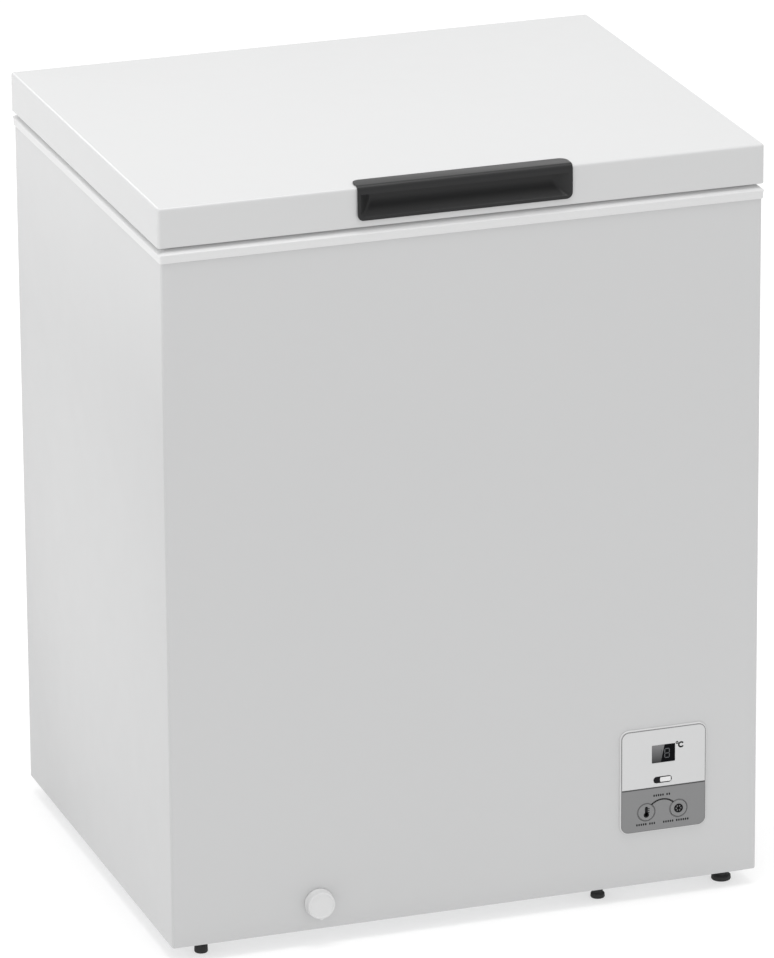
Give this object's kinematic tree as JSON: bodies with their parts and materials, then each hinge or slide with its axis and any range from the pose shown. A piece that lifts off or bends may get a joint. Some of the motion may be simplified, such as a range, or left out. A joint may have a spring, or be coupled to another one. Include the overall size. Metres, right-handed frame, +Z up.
{
  "type": "chest freezer",
  "caption": "Small top-opening chest freezer with a hinged insulated lid, a dark grip handle let into its front edge, a low control panel, a drain dial and a hanging wire basket.",
  "frame": {"origin": "on the floor, at the middle of the freezer's footprint", "axes": "+Z up, -Y out of the front, where the handle and the control panel are, +X to the right as seen from the front"},
  "size_m": [0.68, 0.581, 0.8558],
  "materials": {
    "white_steel": "satin",
    "white_plastic": "satin",
    "handle_plastic": "satin",
    "panel_film": "satin",
    "window": "gloss",
    "black_rubber": "matte",
    "black_paint": "satin",
    "zinc_steel": "satin",
    "liner_aluminium": "satin",
    "coil_aluminium": "satin",
    "copper_tube": "satin",
    "foam": "matte",
    "board": "satin",
    "gasket": "matte",
    "basket_coat": "satin"
  },
  "bodies": {
    "cabinet": {"outer_wrap": "white_steel", "rear_panel": "white_steel", "bottom_panel": "zinc_steel", "compartment_panel": "zinc_steel", "inner_liner": "liner_aluminium", "foam_insulation": "foam", "top_collar": "white_plastic", "evaporator_coil": "coil_aluminium", "condenser_coil": "copper_tube", "base_plate": "zinc_steel", "compressor_shell": "black_paint", "compressor_cradle": "black_paint", "grommet_1": "black_rubber", "grommet_2": "black_rubber", "grommet_3": "black_rubber", "grommet_4": "black_rubber", "terminal_cover": "black_paint", "discharge_line": "copper_tube", "suction_line": "copper_tube", "filter_drier": "copper_tube", "capillary_tube": "copper_tube", "rear_grille": "zinc_steel", "cord_gland": "black_rubber", "foot_front_left": "black_rubber", "foot_rear_left": "black_rubber", "foot_front_middle": "black_rubber", "foot_front_right": "black_rubber", "foot_rear_right": "black_rubber", "control_bezel": "white_plastic", "control_overlay": "panel_film", "display_window": "window", "indicator_lens": "white_plastic", "circuit_board": "board", "drain_tube": "white_plastic", "hinge_base_left": "zinc_steel", "hinge_base_right": "zinc_steel", "hinge_pin_left": "zinc_steel", "hinge_pin_right": "zinc_steel", "hinge_spring_left": "zinc_steel", "hinge_spring_right": "zinc_steel"},
    "lid": {"lid_skin": "white_steel", "lid_foam": "foam", "lid_pan": "white_plastic", "lid_gasket": "gasket", "lid_handle": "handle_plastic", "hinge_leaf_left": "zinc_steel", "hinge_leaf_right": "zinc_steel"},
    "basket": {"basket_floor": "basket_coat", "basket_side_left": "basket_coat", "basket_side_right": "basket_coat", "basket_end_front": "basket_coat", "basket_end_back": "basket_coat", "basket_rim": "basket_coat", "basket_hanger_front": "basket_coat", "basket_hanger_back": "basket_coat"},
    "temperature_button": {"button_temperature": "panel_film"},
    "freeze_button": {"button_freeze": "panel_film"},
    "inner_plug": {"drain_plug": "white_plastic"},
    "dial_sleeve": {"drain_stem": "white_plastic"},
    "dial": {"drain_dial": "white_plastic"}
  },
  "joints": [
    {"name": "lid_hinge", "type": "hinge", "parent": "cabinet", "child": "lid", "pos_m": [0, 0.2805, 0.811], "axis": [-1, 0, 0], "range_deg": [0, 80], "stiffness_Nm_per_rad": 2.2, "springref_deg": 131.78},
    {"name": "basket_slide", "type": "slide", "parent": "cabinet", "child": "basket", "axis": [1, 0, 0], "range_m": [0, 0.34]},
    {"name": "temperature_press", "type": "slide", "parent": "cabinet", "child": "temperature_button", "axis": [0, 1, 0], "range_m": [0, 0.001], "stiffness_N_per_m": 300},
    {"name": "freeze_press", "type": "slide", "parent": "cabinet", "child": "freeze_button", "axis": [0, 1, 0], "range_m": [0, 0.001], "stiffness_N_per_m": 300},
    {"name": "plug_lift", "type": "slide", "parent": "cabinet", "child": "inner_plug", "axis": [0, 0, 1], "range_m": [0, 0.06]},
    {"name": "dial_pull", "type": "slide", "parent": "cabinet", "child": "dial_sleeve", "axis": [0, -1, 0], "range_m": [0, 0.014]},
    {"name": "dial_turn", "type": "hinge", "parent": "dial_sleeve", "child": "dial", "pos_m": [-0.171, -0.2795, 0.05], "axis": [0, -1, 0], "range_deg": [0, 180]}
  ]
}
